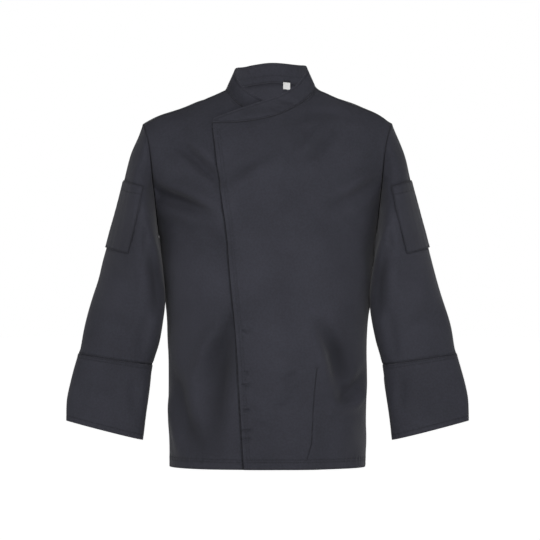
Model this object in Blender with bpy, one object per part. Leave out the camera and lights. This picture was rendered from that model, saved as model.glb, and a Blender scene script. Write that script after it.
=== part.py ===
"""A long-sleeved chef jacket with the hollow shape that it has when it is worn.

Metres, +Z up, front towards -Y, the wearer's left towards +X. The origin is where the
wearer carries the jacket: the middle of the neck, on the line of the shoulders.

Each cut piece is a sheet of points in rows and columns. The body's panels are spread over
one general form, the sleeves run from the armholes through a table of rings, and what lies
on a piece is made from that piece's points, moved out. A wall is then given to each sheet.
Sheets that are sewn together share their edge points and the direction of their wall
there, and each draws back from the seam by half of its gap.
"""

from collections import namedtuple

import bmesh
import bpy
import numpy as np
from mathutils import Vector

FRONT, BACK = -1, 1
LEFT, RIGHT = 1, -1

# Cloth and seams
CLOTH = 0.0014
DOUBLE_CLOTH = 0.0022
TAPE = 0.0010
SEAM_GAP = 0.0003
MITRE_LIMIT = 0.5
SKEW = 2.0
ARMHOLE_SPLAY = 0.2
SAME_POINT = 1e-6
SMALL = 1e-12

# The body
HEM_Z = -0.733
UNDERARM_Z = -0.285
SEAM_FORWARD = 0.066
CAP_HEIGHT = {FRONT: 0.36, BACK: 0.30}
ROUNDNESS = 2.4
FORM_STEPS = 8

# The neck
NECK_X = 0.0075
CREST_X = 0.0095
NECK_SHIFT_END = 0.245
NECK_SHIFT_FADE = 0.055
NECK_POINT_X = {LEFT: 0.092, RIGHT: -0.079}
NECK_BACK_Y = 0.056
NECK_SEAM_Y = -0.027
NECK_SQUARENESS = 2.3
NECK_RISE = 0.038
NECK_RISE_WIDTH = 0.085
NECK_RISE_POWER = 1.5

# How the sheets are divided
SIDE_ROWS = 18
ARMHOLE_ROWS = 12
SHOULDER_COLUMNS = 6
NECK_COLUMNS = {LEFT: 14, RIGHT: 10, BACK: 12}
DENSE = 240
COLLAR_ROWS = 4

# The overlap and its press studs
LAP = 0.0048
LAP_PAST_EDGE = 0.004
STUD_RADIUS = 0.006
STUD_DEPTH = 0.0020
STUD_INSET = 0.014
STUD_SIDES = 20
STUD_HEIGHTS = (-0.0770, -0.1910, -0.3160, -0.4520, -0.5850)

# The cuffs' vents, the sleeve pockets and the label
VENT_WIDTH = 0.0012
POCKET_DIVISIONS = (10, 14)
POCKET_LIFT = 0.0018
LABEL_WIDTH = 0.014
LABEL_DROP = 0.014
LABEL_X = 0.0385
LABEL_DIVISIONS = 2
LABEL_RISE = 0.003
LABEL_STANDOFF = 0.0029

Body = namedtuple("Body", "z half_width front back")
BODY = (
    Body(-0.760, 0.191, 0.141, 0.129),
    Body(-0.733, 0.191, 0.141, 0.128),
    Body(-0.600, 0.1925, 0.143, 0.122),
    Body(-0.450, 0.1955, 0.147, 0.119),
    Body(-0.400, 0.2005, 0.148, 0.120),
    Body(-0.340, 0.2065, 0.149, 0.122),
    Body(-0.285, 0.2115, 0.148, 0.125),
    Body(-0.230, 0.226, 0.145, 0.126),
    Body(-0.170, 0.2455, 0.142, 0.126),
    Body(-0.100, 0.280, 0.137, 0.125),
    Body(0.000, 0.330, 0.133, 0.124),
    Body(0.060, 0.355, 0.132, 0.124),
)

# Height of the line of the shoulders, by the distance from the neck's middle
Crest = namedtuple("Crest", "x z")
CREST = (
    Crest(0.000, 0.009),
    Crest(0.060, 0.009),
    Crest(0.085, 0.007),
    Crest(0.102, 0.000),
    Crest(0.123, -0.010),
    Crest(0.148, -0.0195),
    Crest(0.171, -0.029),
    Crest(0.200, -0.039),
    Crest(0.222, -0.049),
    Crest(0.235, -0.058),
    Crest(0.245, -0.068),
    Crest(0.300, -0.125),
)

Armhole = namedtuple("Armhole", "z x")
ARMHOLE = (
    Armhole(-0.285, 0.2115),
    Armhole(-0.232, 0.2165),
    Armhole(-0.187, 0.2215),
    Armhole(-0.134, 0.2265),
    Armhole(-0.090, 0.2345),
    Armhole(-0.070, 0.2415),
    Armhole(-0.040, 0.2435),
)

# Front edges, from the hem up: the overlap's free edge and the underlap's hidden one
Edge = namedtuple("Edge", "z x")
OVERLAP_EDGE = (
    Edge(-0.733, -0.045),
    Edge(-0.630, -0.051),
    Edge(-0.486, -0.0595),
    Edge(-0.362, -0.071),
    Edge(-0.257, -0.080),
    Edge(-0.170, -0.093),
    Edge(-0.105, -0.101),
    Edge(-0.067, -0.106),
)
Underlap = namedtuple("Underlap", "z x fade")
UNDERLAP_EDGE = (
    Underlap(-0.733, 0.078, 0.022),
    Underlap(-0.680, 0.086, 0.020),
    Underlap(-0.540, 0.0955, 0.030),
    Underlap(-0.400, 0.096, 0.060),
    Underlap(-0.200, 0.088, 0.060),
    Underlap(-0.060, 0.062, 0.026),
)

# Front necklines, from the front edge to the shoulder seam
Neck = namedtuple("Neck", "x z")
OVERLAP_NECK = (
    Neck(-0.106, -0.067),
    Neck(-0.084, -0.0665),
    Neck(-0.057, -0.0655),
    Neck(-0.030, -0.0625),
    Neck(-0.002, -0.0570),
    Neck(0.021, -0.0505),
    Neck(0.042, -0.0415),
    Neck(0.063, -0.0300),
    Neck(0.079, -0.0165),
)
UNDERLAP_NECK = (
    Neck(0.062, -0.0600),
    Neck(0.030, -0.0590),
    Neck(0.000, -0.0555),
    Neck(-0.026, -0.0450),
    Neck(-0.049, -0.0330),
    Neck(-0.067, -0.0175),
)

# The collar along the neck seam, from the underlap's end (0) to the overlap's end (1)
Band = namedtuple("Band", "along height lean")
COLLAR = (
    Band(0.00, 0.020, 34),
    Band(0.05, 0.028, 34),
    Band(0.10, 0.033, 32),
    Band(0.20, 0.034, 27),
    Band(0.30, 0.038, 23),
    Band(0.38, 0.041, 14),
    Band(0.46, 0.040, 9),
    Band(0.54, 0.040, 12),
    Band(0.62, 0.039, 23),
    Band(0.70, 0.038, 29),
    Band(0.78, 0.037, 20),
    Band(0.86, 0.036, 15),
    Band(0.92, 0.0295, 17),
    Band(0.96, 0.0215, 22),
    Band(1.00, 0.011, 28),
)
COLLAR_AXIS_Y = -0.005

# The left sleeve and cuff, each ring given by its outer and its inner point
Ring = namedtuple("Ring", "row out_x out_y out_z in_x in_y in_z half_depth")
RINGS = (
    Ring(2, 0.2625, 0.000, -0.120, 0.2113, -0.037, -0.300, 0.073),
    Ring(5, 0.2815, 0.002, -0.190, 0.2066, -0.053, -0.325, 0.081),
    Ring(8, 0.3010, 0.003, -0.262, 0.2028, -0.058, -0.362, 0.078),
    Ring(11, 0.3215, 0.000, -0.338, 0.1992, -0.059, -0.404, 0.070),
    Ring(14, 0.3425, -0.006, -0.414, 0.2022, -0.048, -0.446, 0.060),
    Ring(17, 0.3585, -0.014, -0.474, 0.2120, -0.040, -0.495, 0.051),
    Ring(19, 0.3670, -0.020, -0.513, 0.2245, -0.036, -0.534, 0.045),
    Ring(21, 0.3770, -0.024, -0.552, 0.2300, -0.036, -0.576, 0.039),
    Ring(23, 0.3880, -0.028, -0.599, 0.2370, -0.038, -0.628, 0.033),
    Ring(25, 0.3895, -0.032, -0.643, 0.2440, -0.040, -0.680, 0.028),
)
CUFF_ROW = 19
HEM_ROW = 25

# A sleeve pocket's front edge as it is seen from the front, from its top to its bottom, and
# its width from there round the sleeve towards the back
Corner = namedtuple("Corner", "x z")
POCKET_FRONT = (Corner(0.2370, -0.1865), Corner(0.2697, -0.3180))
POCKET_WIDTH = 0.120
POCKET_ROWS = (0.5, 14.0)
POCKET_COLUMNS = (-8.0, 7.0)
POCKET_STEP = 0.25

RING_ROUNDNESS = 2.2
AROUND = 2 * ARMHOLE_ROWS
CUFF_PROUD = 0.0008

# The largest folds seen from the front and from behind: a soft ridge (height above 0) or
# trough along a line. The sleeves' rows are given for the left one and mirrored.
FOLD_FADE = 1.6
FOLD_TURN = 0.5
SLEEVE_FOLD_FADE = 0.012
Fold = namedtuple("Fold", "x0 z0 x1 z1 width height")
FRONT_FOLDS = (
    Fold(-0.170, -0.105, -0.112, -0.172, 0.020, -0.0050),
    Fold(-0.208, -0.200, -0.130, -0.240, 0.021, -0.0065),
    Fold(-0.190, -0.168, -0.100, -0.218, 0.022, 0.0060),
    Fold(-0.180, -0.262, -0.100, -0.305, 0.022, -0.0045),
    Fold(-0.050, -0.190, 0.020, -0.140, 0.021, 0.0040),
    Fold(0.090, -0.150, 0.150, -0.095, 0.020, -0.0040),
    Fold(0.150, -0.190, 0.205, -0.165, 0.022, 0.0050),
    Fold(0.125, -0.245, 0.200, -0.225, 0.022, -0.0045),
    Fold(-0.094, -0.500, -0.130, -0.620, 0.021, -0.0060),
    Fold(-0.182, -0.545, -0.150, -0.630, 0.022, 0.0055),
    Fold(0.110, -0.475, 0.150, -0.580, 0.020, -0.0060),
    Fold(0.140, -0.680, 0.165, -0.600, 0.022, 0.0045),
    Fold(0.040, -0.690, 0.090, -0.650, 0.022, 0.0035),
)
BACK_FOLDS = (
    Fold(-0.190, -0.185, -0.110, -0.300, 0.023, 0.0055),
    Fold(-0.160, -0.230, -0.070, -0.350, 0.022, -0.0050),
    Fold(0.190, -0.195, 0.115, -0.290, 0.023, 0.0050),
    Fold(0.165, -0.235, 0.065, -0.330, 0.022, -0.0050),
    Fold(-0.150, -0.475, -0.030, -0.505, 0.021, 0.0050),
    Fold(0.145, -0.455, 0.040, -0.515, 0.022, -0.0050),
    Fold(-0.120, -0.560, -0.095, -0.690, 0.024, -0.0055),
    Fold(0.095, -0.570, 0.085, -0.700, 0.024, 0.0055),
    Fold(0.005, -0.580, 0.000, -0.700, 0.023, -0.0040),
)
SLEEVE_FOLDS = (
    Fold(0.245, -0.165, 0.262, -0.250, 0.018, 0.0025),
    Fold(0.229, -0.320, 0.221, -0.410, 0.016, -0.0030),
    Fold(0.242, -0.432, 0.290, -0.405, 0.018, 0.0025),
    Fold(0.256, -0.475, 0.322, -0.436, 0.018, -0.0025),
)

Colour = namedtuple("Colour", "red green blue roughness metallic")
TWILL = Colour(0.036, 0.036, 0.046, 0.85, 0.0)
TWILL_COLLAR = Colour(0.033, 0.033, 0.042, 0.85, 0.0)
TAPE_WHITE = Colour(0.75, 0.75, 0.74, 0.80, 0.0)
STUD_METAL = Colour(0.10, 0.10, 0.11, 0.35, 0.9)


# ---------------------------------------------------------------- curves and the form

def column(table, name):
    """One named column of a table, as an array."""
    return np.array([getattr(row, name) for row in table])


def curve(xs, ys, at):
    """Values at the places `at` of the smooth curve through (xs, ys), where xs rises."""
    xs, ys = np.asarray(xs, float), np.asarray(ys, float)
    at = np.clip(np.asarray(at, float), xs[0], xs[-1])
    slopes = np.gradient(ys, xs, axis=0)
    k = np.clip(np.searchsorted(xs, at, side="right") - 1, 0, len(xs) - 2)
    step = (xs[k + 1] - xs[k]).reshape(at.shape + (1,) * (ys.ndim - 1))
    t = (at - xs[k]).reshape(step.shape) / step
    start, end = (1 + 2 * t) * (1 - t) ** 2, t * t * (3 - 2 * t)
    leave, arrive = t * (1 - t) ** 2 * step, t * t * (t - 1) * step
    return start * ys[k] + end * ys[k + 1] + leave * slopes[k] + arrive * slopes[k + 1]


def ease(t):
    """0 below 0, 1 above 1 and smooth between."""
    t = np.clip(t, 0.0, 1.0)
    return t * t * (3 - 2 * t)


def crest(side, x):
    """Height of the line of the shoulders at x; the back climbs higher behind the neck."""
    shift = CREST_X * np.clip((NECK_SHIFT_END - np.abs(x)) / NECK_SHIFT_FADE, 0, 1)
    from_neck = np.abs(x - shift)
    rise = NECK_RISE * np.clip(1 - (from_neck / NECK_RISE_WIDTH) ** 2, 0, 1) ** NECK_RISE_POWER
    height = curve(column(CREST, "x"), column(CREST, "z"), from_neck)
    return height + (rise if side == BACK else 0)


def drop(cap, w):
    """How far below the crest a point lies that is w along the form's profile."""
    angle = np.minimum(np.abs(w) / cap, np.pi / 2)
    return cap * (1 - np.cos(angle)) + np.maximum(np.abs(w) - cap * np.pi / 2, 0)


def reach(cap, w):
    """Share of the form's full depth at w along its profile."""
    return np.sin(np.minimum(np.abs(w) / cap, np.pi / 2))


def half_width(z):
    """Half of the form's width at height z."""
    return curve(column(BODY, "z"), column(BODY, "half_width"), z)


def depth(facing, z):
    """The form's full depth at height z, in front or behind."""
    return curve(column(BODY, "z"), column(BODY, "front" if facing == FRONT else "back"), z)


def roundness(psi):
    """Share of the depth that is left at the angle psi from the middle."""
    return (1 - np.minimum(np.abs(np.sin(psi)), 1) ** ROUNDNESS) ** (1 / ROUNDNESS)


def form(side, place):
    """Points of the form at places (psi, w): the angle from the middle and the way down
    from the crest. A place with w below 0 lies past the crest, on the other side."""
    psi, w = np.asarray(place, float)[..., 0], np.asarray(place, float)[..., 1]
    over = w < 0
    z = np.zeros_like(w)
    down = np.where(over, drop(CAP_HEIGHT[-side], w), drop(CAP_HEIGHT[side], w))
    for _ in range(FORM_STEPS):
        x = half_width(z) * np.sin(psi)
        z = crest(side, x) - down
    near = side * depth(side, z) * reach(CAP_HEIGHT[side], w)
    far = -side * depth(-side, z) * reach(CAP_HEIGHT[-side], w)
    y = np.where(over, far, near) * roundness(psi)
    return np.stack([x, y, z], axis=-1)


def place_at(side, x, z):
    """The place (psi, w) of the form's point at x and z."""
    cap = CAP_HEIGHT[side]
    down = np.maximum(crest(side, x) - z, 0)
    in_cap = cap * np.arccos(np.clip(1 - down / cap, -1, 1))
    w = np.where(down < cap, in_cap, cap * np.pi / 2 + down - cap)
    return np.stack([np.arcsin(np.clip(x / half_width(z), -1, 1)), w], axis=-1)


def place_on_profile(side, x_at, w):
    """The places at w along the profile of a line whose x is a function of its height."""
    z = np.zeros_like(w)
    down = np.where(w < 0, drop(CAP_HEIGHT[-side], w), drop(CAP_HEIGHT[side], w))
    for _ in range(FORM_STEPS):
        x = x_at(z)
        z = crest(side, x) - down
    return np.stack([np.arcsin(np.clip(x / half_width(z), -1, 1)), w], axis=-1)


def even(side, places, pieces):
    """The same line of places, cut into pieces of one length on the form."""
    steps = np.linalg.norm(np.diff(form(side, places), axis=0), axis=1)
    length = np.concatenate([[0], np.cumsum(steps)])
    at = np.linspace(0, length[-1], pieces + 1)
    return np.stack([np.interp(at, length, places[:, k]) for k in range(2)], axis=-1)


def join(*lines):
    """Lines end to end, without the points that repeat."""
    return np.concatenate([lines[0]] + [line[1:] for line in lines[1:]])


def spread(bottom, top, inner, outer):
    """A sheet of places spread between its four edges."""
    v, u = np.linspace(0, 1, len(inner))[:, None, None], np.linspace(0, 1, len(bottom))[None, :, None]
    ruled = (1 - v) * bottom[None] + v * top[None] + (1 - u) * inner[:, None] + u * outer[:, None]
    corners = (1 - v) * ((1 - u) * bottom[0] + u * bottom[-1]) + v * ((1 - u) * top[0] + u * top[-1])
    return ruled - corners


# ---------------------------------------------------------------- edges of the panels

def armhole_x(z):
    """Distance of the armhole's seam from the middle at height z."""
    return curve(column(ARMHOLE, "z"), column(ARMHOLE, "x"), z)


def side_edge(facing, hand):
    """Edge of a panel from the hem up the side, and round the armhole to the shoulder."""
    z = np.linspace(HEM_Z, UNDERARM_Z, DENSE)
    side = even(facing, place_at(facing, hand * half_width(z), z), SIDE_ROWS)
    side[:, 0] = hand * np.pi / 2
    end = SEAM_FORWARD if facing == FRONT else -SEAM_FORWARD
    w = np.linspace(side[-1, 1], end, DENSE)
    hole = place_on_profile(facing, lambda z: hand * armhole_x(z), w)
    hole[0] = side[-1]
    return join(side, even(facing, hole, ARMHOLE_ROWS))


def shoulder_edge(facing, hand):
    """The shoulder seam from the neck out, a little forward of the crest."""
    forward = SEAM_FORWARD if facing == FRONT else -SEAM_FORWARD
    tip = side_edge(FRONT, hand)[-1]
    tip_x = form(FRONT, tip)[0]
    x = np.linspace(NECK_POINT_X[hand], tip_x, DENSE)
    places = np.stack([np.zeros(DENSE), np.full(DENSE, forward)], axis=-1)
    for _ in range(FORM_STEPS):
        places[:, 0] = np.arcsin(x / half_width(form(facing, places)[:, 2]))
    return even(facing, places, SHOULDER_COLUMNS)


def front_neck_edge(hand, table):
    """A front's neckline from its front edge to the shoulder seam."""
    end = form(FRONT, shoulder_edge(FRONT, hand)[0])
    x = np.append(column(table, "x"), end[0])
    z = np.append(column(table, "z"), end[2])
    along = np.concatenate([[0], np.cumsum(np.hypot(np.diff(x), np.diff(z)))])
    at = np.linspace(0, along[-1], DENSE)
    places = place_at(FRONT, curve(along, x, at), curve(along, z, at))
    places[-1] = shoulder_edge(FRONT, hand)[0]
    return even(FRONT, places, NECK_COLUMNS[hand])


def back_neck_edge():
    """The back's neckline from the right shoulder seam to the left one."""
    middle = (NECK_POINT_X[LEFT] + NECK_POINT_X[RIGHT]) / 2
    half = (NECK_POINT_X[LEFT] - NECK_POINT_X[RIGHT]) / 2
    across = np.sin(np.linspace(-np.pi / 2, np.pi / 2, DENSE))
    power = NECK_SQUARENESS
    y = NECK_SEAM_Y + (NECK_BACK_Y - NECK_SEAM_Y) * (1 - np.abs(across) ** power) ** (1 / power)
    x = middle + half * across
    places = np.zeros((DENSE, 2))
    facing = np.where(y < 0, FRONT, BACK)
    for _ in range(FORM_STEPS):
        z = form(BACK, places)[:, 2]
        places[:, 0] = np.arcsin(x / half_width(z))
        full = np.where(y < 0, depth(FRONT, z), depth(BACK, z)) * roundness(places[:, 0])
        cap = np.where(y < 0, CAP_HEIGHT[FRONT], CAP_HEIGHT[BACK])
        places[:, 1] = facing * cap * np.arcsin(np.abs(y) / full)
    places[0] = shoulder_edge(BACK, RIGHT)[0]
    places[-1] = shoulder_edge(BACK, LEFT)[0]
    return even(BACK, places, NECK_COLUMNS[BACK])


# ---------------------------------------------------------------- sheets

def front_sheet(hand, edge, neck):
    """A front, from its front edge (column 0) out to the side and armhole."""
    outer = side_edge(FRONT, hand)
    top = join(front_neck_edge(hand, neck), shoulder_edge(FRONT, hand))
    z = np.linspace(HEM_Z, neck[0].z, DENSE)
    inner = place_at(FRONT, curve(column(edge, "z"), column(edge, "x"), z), z)
    inner = even(FRONT, inner, len(outer) - 1)
    inner[-1] = top[0]
    psi = np.linspace(inner[0, 0], outer[0, 0], DENSE)
    hem = place_at(FRONT, half_width(HEM_Z) * np.sin(psi), np.full(DENSE, HEM_Z))
    hem = even(FRONT, hem, len(top) - 1)
    hem[0], hem[-1] = inner[0], outer[0]
    return form(FRONT, spread(hem, top, inner, outer))


def back_sheet():
    """The back, from the right side (column 0) to the left side."""
    right, left = side_edge(BACK, RIGHT), side_edge(BACK, LEFT)
    top = join(shoulder_edge(BACK, RIGHT)[::-1], back_neck_edge(), shoulder_edge(BACK, LEFT))
    psi = np.linspace(-np.pi / 2, np.pi / 2, DENSE)
    hem = place_at(BACK, half_width(HEM_Z) * np.sin(psi), np.full(DENSE, HEM_Z))
    hem[0], hem[-1] = right[0], left[0]
    return form(BACK, spread(even(BACK, hem, len(top) - 1), top, right, left))


def grid_normals(sheet, turn, closed=False):
    """Sum of the directions of the faces round each point of a sheet, facing out."""
    around = np.concatenate([sheet, sheet[:, :1]], axis=1) if closed else sheet
    faces = turn * np.cross(around[1:, 1:] - around[:-1, :-1], around[1:, :-1] - around[:-1, 1:])
    sums = np.zeros_like(around)
    for rows in (slice(None, -1), slice(1, None)):
        for columns in (slice(None, -1), slice(1, None)):
            sums[rows, columns] += faces
    if closed:
        sums[:, 0] += sums[:, -1]
        sums = sums[:, :-1]
    return sums


def unit(vectors):
    """The same directions with a length of 1."""
    return vectors / np.maximum(np.linalg.norm(vectors, axis=-1, keepdims=True), SMALL)


def lap_lift(points):
    """How far the overlap stands out at each point to lie over the underlap."""
    x, z = points[..., 0], points[..., 2]
    edge = curve(column(UNDERLAP_EDGE, "z"), column(UNDERLAP_EDGE, "x"), z)
    fade = curve(column(UNDERLAP_EDGE, "z"), column(UNDERLAP_EDGE, "fade"), z)
    return LAP * ease((edge + LAP_PAST_EDGE + fade - x) / fade)


def collar_sheet(front_right, back, front_left):
    """The collar, standing on the neckline of the right front, the back and the left."""
    right = front_right[-1, :NECK_COLUMNS[RIGHT] + 1]
    behind = back[-1, SHOULDER_COLUMNS:SHOULDER_COLUMNS + NECK_COLUMNS[BACK] + 1]
    left = front_left[-1, :NECK_COLUMNS[LEFT] + 1][::-1]
    seam = join(right, behind, left)
    length = np.concatenate([[0], np.cumsum(np.linalg.norm(np.diff(seam, axis=0), axis=1))])
    along = length / length[-1]
    height = curve(column(COLLAR, "along"), column(COLLAR, "height"), along)
    lean = np.radians(curve(column(COLLAR, "along"), column(COLLAR, "lean"), along))
    inward = unit(np.array([NECK_X, COLLAR_AXIS_Y, 0]) - seam * [1, 1, 0])
    rise = inward * np.sin(lean)[:, None] + [0, 0, 1] * np.cos(lean)[:, None]
    share = np.linspace(0, 1, COLLAR_ROWS + 1)[:, None, None]
    return seam[None] + share * (rise * height[:, None])[None]


def ring_points(hand):
    """The points of the table's rings: outer line, front, inner line, back."""
    angle = 2 * np.pi * np.arange(AROUND) / AROUND
    power = 2 / RING_ROUNDNESS
    along = np.sign(np.cos(angle)) * np.abs(np.cos(angle)) ** power
    across = np.sign(np.sin(angle)) * np.abs(np.sin(angle)) ** power
    rings = []
    for ring in RINGS:
        outer = np.array([hand * ring.out_x, ring.out_y, ring.out_z])
        inner = np.array([hand * ring.in_x, ring.in_y, ring.in_z])
        middle, half = (outer + inner) / 2, (outer - inner) / 2
        rings.append(middle + np.outer(along, half) - np.outer(across, [0, ring.half_depth, 0]))
    return np.array(rings)


def sleeve_rows(hand, front, back):
    """All rows of a sleeve and its cuff, from the armhole's own points down to the hem."""
    front_edge = front[SIDE_ROWS:, -1][::-1]
    back_edge = back[SIDE_ROWS:, -1 if hand == LEFT else 0]
    armhole = np.concatenate([front_edge[:-1], back_edge[:-1]])
    keys = np.concatenate([armhole[None], ring_points(hand)])
    rows = np.concatenate([[0], column(RINGS, "row")])
    return curve(rows, keys, np.arange(HEM_ROW + 1))


def fold_height(points, table):
    """Height of a table's folds at each point, seen along Y."""
    x, z = points[..., 0], points[..., 2]
    total = np.zeros_like(x)
    for fold in table:
        start = np.array([fold.x0, fold.z0])
        run = np.array([fold.x1, fold.z1]) - start
        length = np.hypot(*run)
        along = ((x - start[0]) * run[0] + (z - start[1]) * run[1]) / length
        across = ((x - start[0]) * run[1] - (z - start[1]) * run[0]) / length
        past = np.maximum(np.maximum(-along, along - length), 0)
        total += fold.height * np.exp(-(across / fold.width) ** 2
                                      - (past / (FOLD_FADE * fold.width)) ** 2)
    return total


def mirrored(table):
    """The same folds on the other side of the middle."""
    return tuple(fold._replace(x0=-fold.x0, x1=-fold.x1) for fold in table)


def folded(points, normals):
    """Points moved out by the folds of the side that they face."""
    sleeve_folds = SLEEVE_FOLDS + mirrored(SLEEVE_FOLDS)
    body_edge = half_width(np.minimum(points[..., 2], UNDERARM_Z))
    on_sleeve = ease((np.abs(points[..., 0]) - body_edge) / SLEEVE_FOLD_FADE)
    sleeve = fold_height(points, sleeve_folds) * on_sleeve
    ahead = ease(-normals[..., 1] / FOLD_TURN) * (fold_height(points, FRONT_FOLDS) + sleeve)
    behind = ease(normals[..., 1] / FOLD_TURN) * (fold_height(points, BACK_FOLDS) + sleeve)
    return points + normals * (ahead + behind)[..., None]


# ---------------------------------------------------------------- walls

class Garment:
    """All sheets, with the directions of their walls shared where they are sewn."""

    def __init__(self):
        self.sheets = {}
        self.turns = {}
        self.closed = {}
        self.upright = {}

    def add(self, name, sheet, turn, closed=False):
        """Take in a sheet. turn is 1 where column x row directions face out, else -1."""
        self.sheets[name], self.turns[name], self.closed[name] = sheet, turn, closed

    def keys(self, sheet):
        """A name for each point, the same on every sheet that has it."""
        return [[tuple(int(value) for value in point) for point in row]
                for row in np.round(sheet / SAME_POINT)]

    def directions(self):
        """The direction of the wall at each point of each sheet."""
        sums = {}
        parts = {name: grid_normals(sheet, self.turns[name], self.closed[name])
                 for name, sheet in self.sheets.items()}
        for name, part in parts.items():
            for keys, row in zip(self.keys(self.sheets[name]), unit(part)):
                for key, normal in zip(keys, row):
                    sums[key] = sums.get(key, 0) + normal
        sums.update(self.upright)
        return {name: np.array([[unit(np.asarray(sums[key], float)) for key in row]
                                for row in self.keys(sheet)])
                for name, sheet in self.sheets.items()}

    def fold(self):
        """Give the sheets their folds. Points that sheets share stay shared."""
        normals = self.directions()
        upright = {}
        for name, sheet in self.sheets.items():
            moved = folded(sheet, normals[name])
            for old_keys, new_keys in zip(self.keys(sheet), self.keys(moved)):
                upright.update({new: self.upright[old] for old, new in zip(old_keys, new_keys)
                                if old in self.upright})
            self.sheets[name] = moved
        self.upright = upright

    def hold_upright(self, loop, middle):
        """Make the wall round an armhole stand straight out from the armhole's middle."""
        tangent = np.roll(loop, -1, axis=0) - np.roll(loop, 1, axis=0)
        away = unit(loop - middle)
        away -= unit(tangent) * np.sum(away * unit(tangent), axis=1, keepdims=True)
        away[:, 0] *= ARMHOLE_SPLAY
        for key, normal in zip(self.keys(loop[None])[0], unit(away)):
            self.upright[key] = normal


def edge_loops(rows, columns, closed):
    """The border of a sheet as loops of (row, column), with the cloth on their left."""
    if closed:
        return [[(0, i) for i in range(columns)], [(rows - 1, i) for i in reversed(range(columns))]]
    loop = [(0, i) for i in range(columns)] + [(j, columns - 1) for j in range(1, rows)]
    loop += [(rows - 1, i) for i in reversed(range(columns - 1))]
    return [loop + [(j, 0) for j in reversed(range(1, rows - 1))]]


def drawn_back(sheet, normals, turn, closed):
    """The sheet with its border drawn back from the seams by half of the gap."""
    moved = sheet.copy()
    for loop in edge_loops(len(sheet), len(sheet[0]), closed):
        rows, columns = np.array(loop).T
        points, facing = sheet[rows, columns], normals[rows, columns]
        step = unit(np.roll(points, -1, axis=0) - points)
        after = turn * unit(np.cross(step, facing))
        before = turn * unit(np.cross(np.roll(step, 1, axis=0), facing))
        meeting = np.maximum(1 + np.sum(before * after, axis=1, keepdims=True), MITRE_LIMIT)
        moved[rows, columns] -= SEAM_GAP / 2 * (before + after) / meeting
    return moved


def leans(points, corners):
    """Whether a four-sided face is so skewed that it is better cut along its other diagonal."""
    first, second, third, fourth = (points[corner] for corner in corners)
    return np.linalg.norm(third - first) > SKEW * np.linalg.norm(fourth - second)


def wall_mesh(outside, inside, turn, closed):
    """A closed wall between two skins of the same rows and columns."""
    mesh = bmesh.new()
    outer = [[mesh.verts.new(point) for point in row] for row in outside]
    inner = [[mesh.verts.new(point) for point in row] for row in inside]
    rows, columns = len(outer), len(outer[0])
    last = columns if closed else columns - 1
    rims = [(0, i, 0, (i + 1) % columns) for i in range(last)]
    rims += [(rows - 1, (i + 1) % columns, rows - 1, i) for i in range(last)]
    if not closed:
        rims += [(j + 1, 0, j, 0) for j in range(rows - 1)]
        rims += [(j, columns - 1, j + 1, columns - 1) for j in range(rows - 1)]
    for j in range(rows - 1):
        for i in range(last):
            corners = ((j, i), (j, (i + 1) % columns), (j + 1, (i + 1) % columns), (j + 1, i))
            if leans(outside, corners):
                corners = corners[1:] + corners[:1]
            for skin, way in ((outer, turn), (inner, -turn)):
                face = [skin[row][place] for row, place in corners]
                mesh.faces.new(face if way > 0 else face[:1] + face[:0:-1])
    for j0, i0, j1, i1 in rims:
        face = [outer[j0][i0], inner[j0][i0], inner[j1][i1], outer[j1][i1]]
        mesh.faces.new(face if turn > 0 else face[::-1])
    bmesh.ops.triangulate(mesh, faces=mesh.faces, quad_method="FIXED")
    return mesh


# ---------------------------------------------------------------- objects

def material(name, colour):
    """A Principled material of one plain finish."""
    made = bpy.data.materials.new(name)
    made.use_nodes = True
    shader = made.node_tree.nodes["Principled BSDF"]
    shader.inputs["Base Color"].default_value = (colour.red, colour.green, colour.blue, 1)
    shader.inputs["Roughness"].default_value = colour.roughness
    shader.inputs["Metallic"].default_value = colour.metallic
    made.diffuse_color = (colour.red, colour.green, colour.blue, 1)
    return made


def add_object(name, mesh, colour, collection, parent):
    """A named object of its own material, made from a bmesh."""
    data = bpy.data.meshes.new(name)
    mesh.to_mesh(data)
    mesh.free()
    data.shade_smooth()
    data.materials.append(material(name, colour))
    made = bpy.data.objects.new(name, data)
    made.parent = parent
    collection.objects.link(made)
    return made


def add_wall(name, sheet, normals, turn, closed, thickness, colour, collection, parent, out=0.0):
    """A sheet's wall as an object, half of its thickness to each side, moved out by out."""
    edged = drawn_back(sheet, normals, turn, closed)
    outside = edged + normals * (out + thickness / 2)
    inside = edged + normals * (out - thickness / 2)
    return add_object(name, wall_mesh(outside, inside, turn, closed), colour, collection, parent)


def add_cuff(side, garment, normals, collection, parent):
    """A doubled cuff, a little proud of its sleeve, open along a vent at its inner line."""
    name = f"cuff_{side}"
    inner = AROUND // 2
    sheet, directions = garment.sheets[name], normals[name]
    opened = np.concatenate([sheet[:, inner:], sheet[:, :inner + 1]], axis=1)
    directions = np.concatenate([directions[:, inner:], directions[:, :inner + 1]], axis=1)
    opened[:, 0, 1] += VENT_WIDTH / 2
    opened[:, -1, 1] -= VENT_WIDTH / 2
    add_wall(name, opened, directions, garment.turns[name], False,
             DOUBLE_CLOTH, TWILL, collection, parent, out=CUFF_PROUD)


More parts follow.
